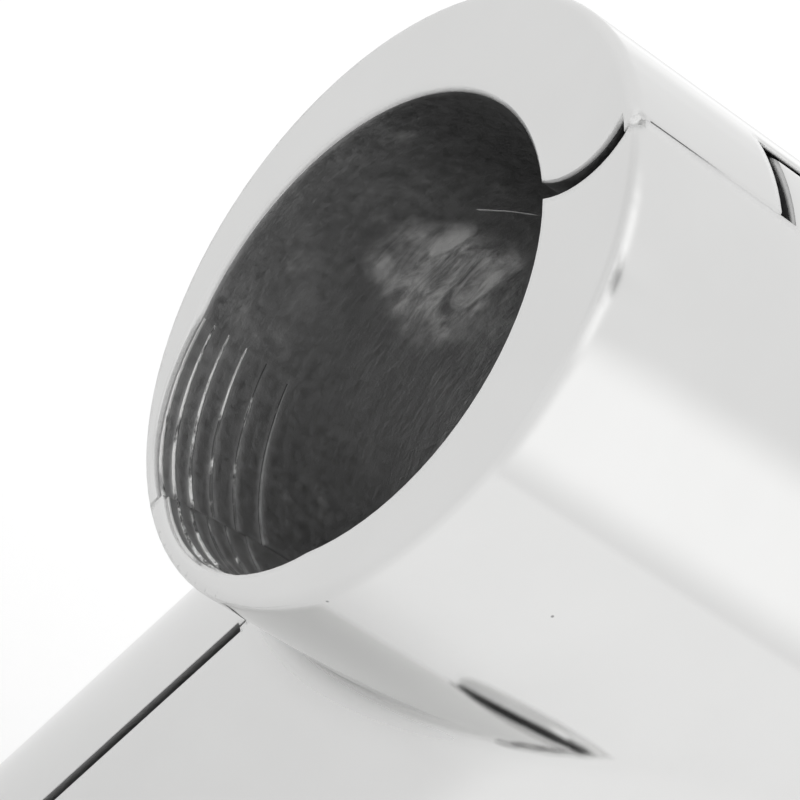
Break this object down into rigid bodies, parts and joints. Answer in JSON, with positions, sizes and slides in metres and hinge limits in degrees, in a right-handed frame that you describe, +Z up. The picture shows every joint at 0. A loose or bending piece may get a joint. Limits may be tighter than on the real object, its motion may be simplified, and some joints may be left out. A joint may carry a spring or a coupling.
{
  "type": "hinged tee tube fitting",
  "caption": "Polished steel tee that hinges open to clip round a rail tube, with a split stem that clamps the end of a branch tube at a right angle.",
  "frame": {"origin": "middle of the rail's axis, at the middle of the collar's length", "axes": "+X along the rail, +Y across the split to the half that holds the pin, +Z up to the hinge, so that the stem points down"},
  "size_m": [0.0508, 0.0361, 0.0691],
  "materials": {
    "polished_steel": "mirror polished outside, rough machined in the bores",
    "pin_steel": "ground",
    "screw_steel": "plain"
  },
  "bodies": {
    "far_side": {"far_half": "polished_steel", "hinge_pin": "pin_steel"},
    "near_side": {"near_half": "polished_steel"},
    "screw": {"clamp_screw": "screw_steel"}
  },
  "joints": [
    {"name": "half_swing", "type": "hinge", "parent": "far_side", "child": "near_side", "pos_m": [0, 0, 0.0156], "axis": [-1, 0, 0], "range_deg": [0, 60]},
    {"name": "screw_drive", "type": "slide", "parent": "near_side", "child": "screw", "axis": [0, 1, 0], "range_m": [0, 0.00547]}
  ]
}
